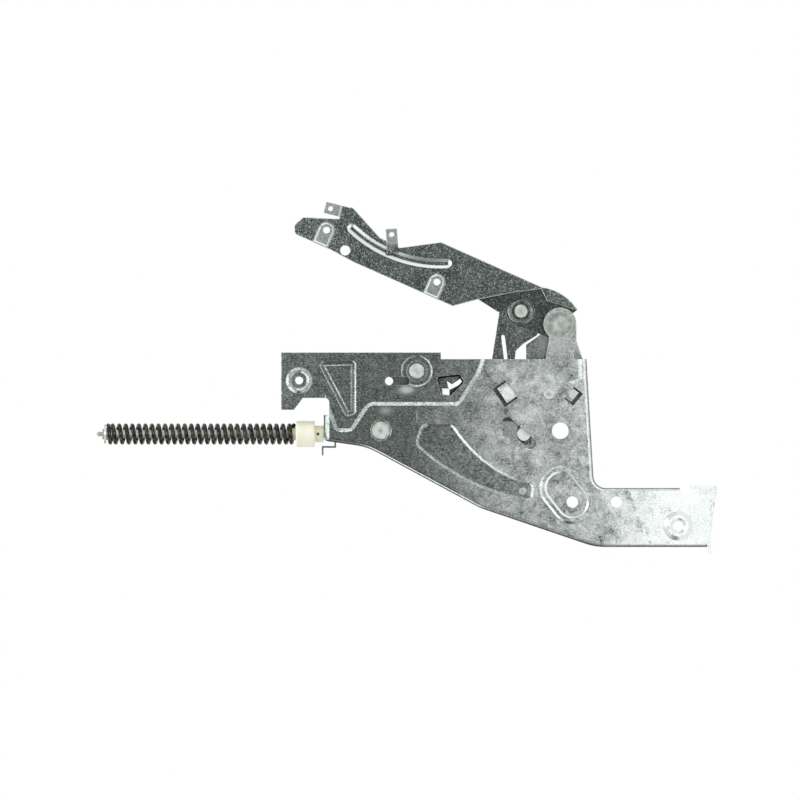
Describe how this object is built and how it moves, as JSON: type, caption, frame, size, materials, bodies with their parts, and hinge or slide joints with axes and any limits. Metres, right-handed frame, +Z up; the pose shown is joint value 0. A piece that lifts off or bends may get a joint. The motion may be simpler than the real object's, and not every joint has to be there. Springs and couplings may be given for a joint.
{
  "type": "dishwasher door hinge",
  "caption": "Folded sheet-metal door hinge with a pivoting door arm, a lift link and crank inside, and a rod that compresses a long coil spring.",
  "frame": {"origin": "middle of the screw hole in the foot, in the seat of the front plate", "axes": "+Z up along the rod and spring as installed, +X to the front of the machine, +Y inwards through the hinge from the front plate to the rear plate"},
  "size_m": [0.2285, 0.0198, 0.4032],
  "materials": {
    "galvanised_sheet": "blotchy hot-dip zinc, half gloss",
    "arm_sheet": "darker mottled zinc with fine speckle",
    "lever_steel": "plain zinc-plated steel, grey",
    "rivet_steel": "turned steel, pale zinc",
    "spring_steel": "dark oiled spring wire",
    "nylon": "off-white moulded nylon"
  },
  "bodies": {
    "frame": {"front_side_plate": "galvanised_sheet", "rear_side_plate": "galvanised_sheet", "main_pivot_pin": "rivet_steel", "pivot_washers": "nylon", "upper_spacer_rivet": "rivet_steel", "lower_spacer_rivet": "rivet_steel", "head_rivet": "rivet_steel", "strap_guide_rivet": "rivet_steel", "crank_stud": "rivet_steel", "spring_bush": "nylon", "balance_spring": "spring_steel"},
    "arm": {"door_arm": "arm_sheet", "arm_sleeve": "nylon", "link_rivet": "rivet_steel"},
    "link": {"lift_link": "lever_steel"},
    "crank": {"spring_crank": "lever_steel", "crank_link_pin": "rivet_steel", "crank_yoke_pin": "rivet_steel", "yoke_bush": "nylon"},
    "rod": {"tie_strap": "lever_steel", "strap_rivet": "rivet_steel", "spring_rod": "rivet_steel", "spring_retainer": "rivet_steel"}
  },
  "joints": [
    {"name": "door_hinge", "type": "hinge", "parent": "frame", "child": "arm", "pos_m": [0.1313, 0.0081, 0.0767], "axis": [0, 1, 0], "range_deg": [-21, 69]},
    {"name": "link_pivot", "type": "hinge", "parent": "arm", "child": "link", "pos_m": [0.13973, 0.0081, 0.10204], "axis": [0, 1, 0], "range_deg": [-69, 21]},
    {"name": "crank_pivot", "type": "hinge", "parent": "frame", "child": "crank", "pos_m": [0.0479, 0.0081, 0.0948], "axis": [0, 1, 0], "range_deg": [-21, 69]},
    {"name": "rod_slide", "type": "slide", "parent": "frame", "child": "rod", "axis": [0, 0, 1], "range_m": [-0.01446, 0.0044], "deforming": ["balance_spring"]}
  ],
  "couplings": [
    {"joint": "link_pivot", "follows": "door_hinge", "ratio": -1},
    {"joint": "crank_pivot", "follows": "door_hinge", "ratio": 1},
    {"joint": "rod_slide", "follows": "door_hinge", "m_per_rad": -0.012}
  ]
}
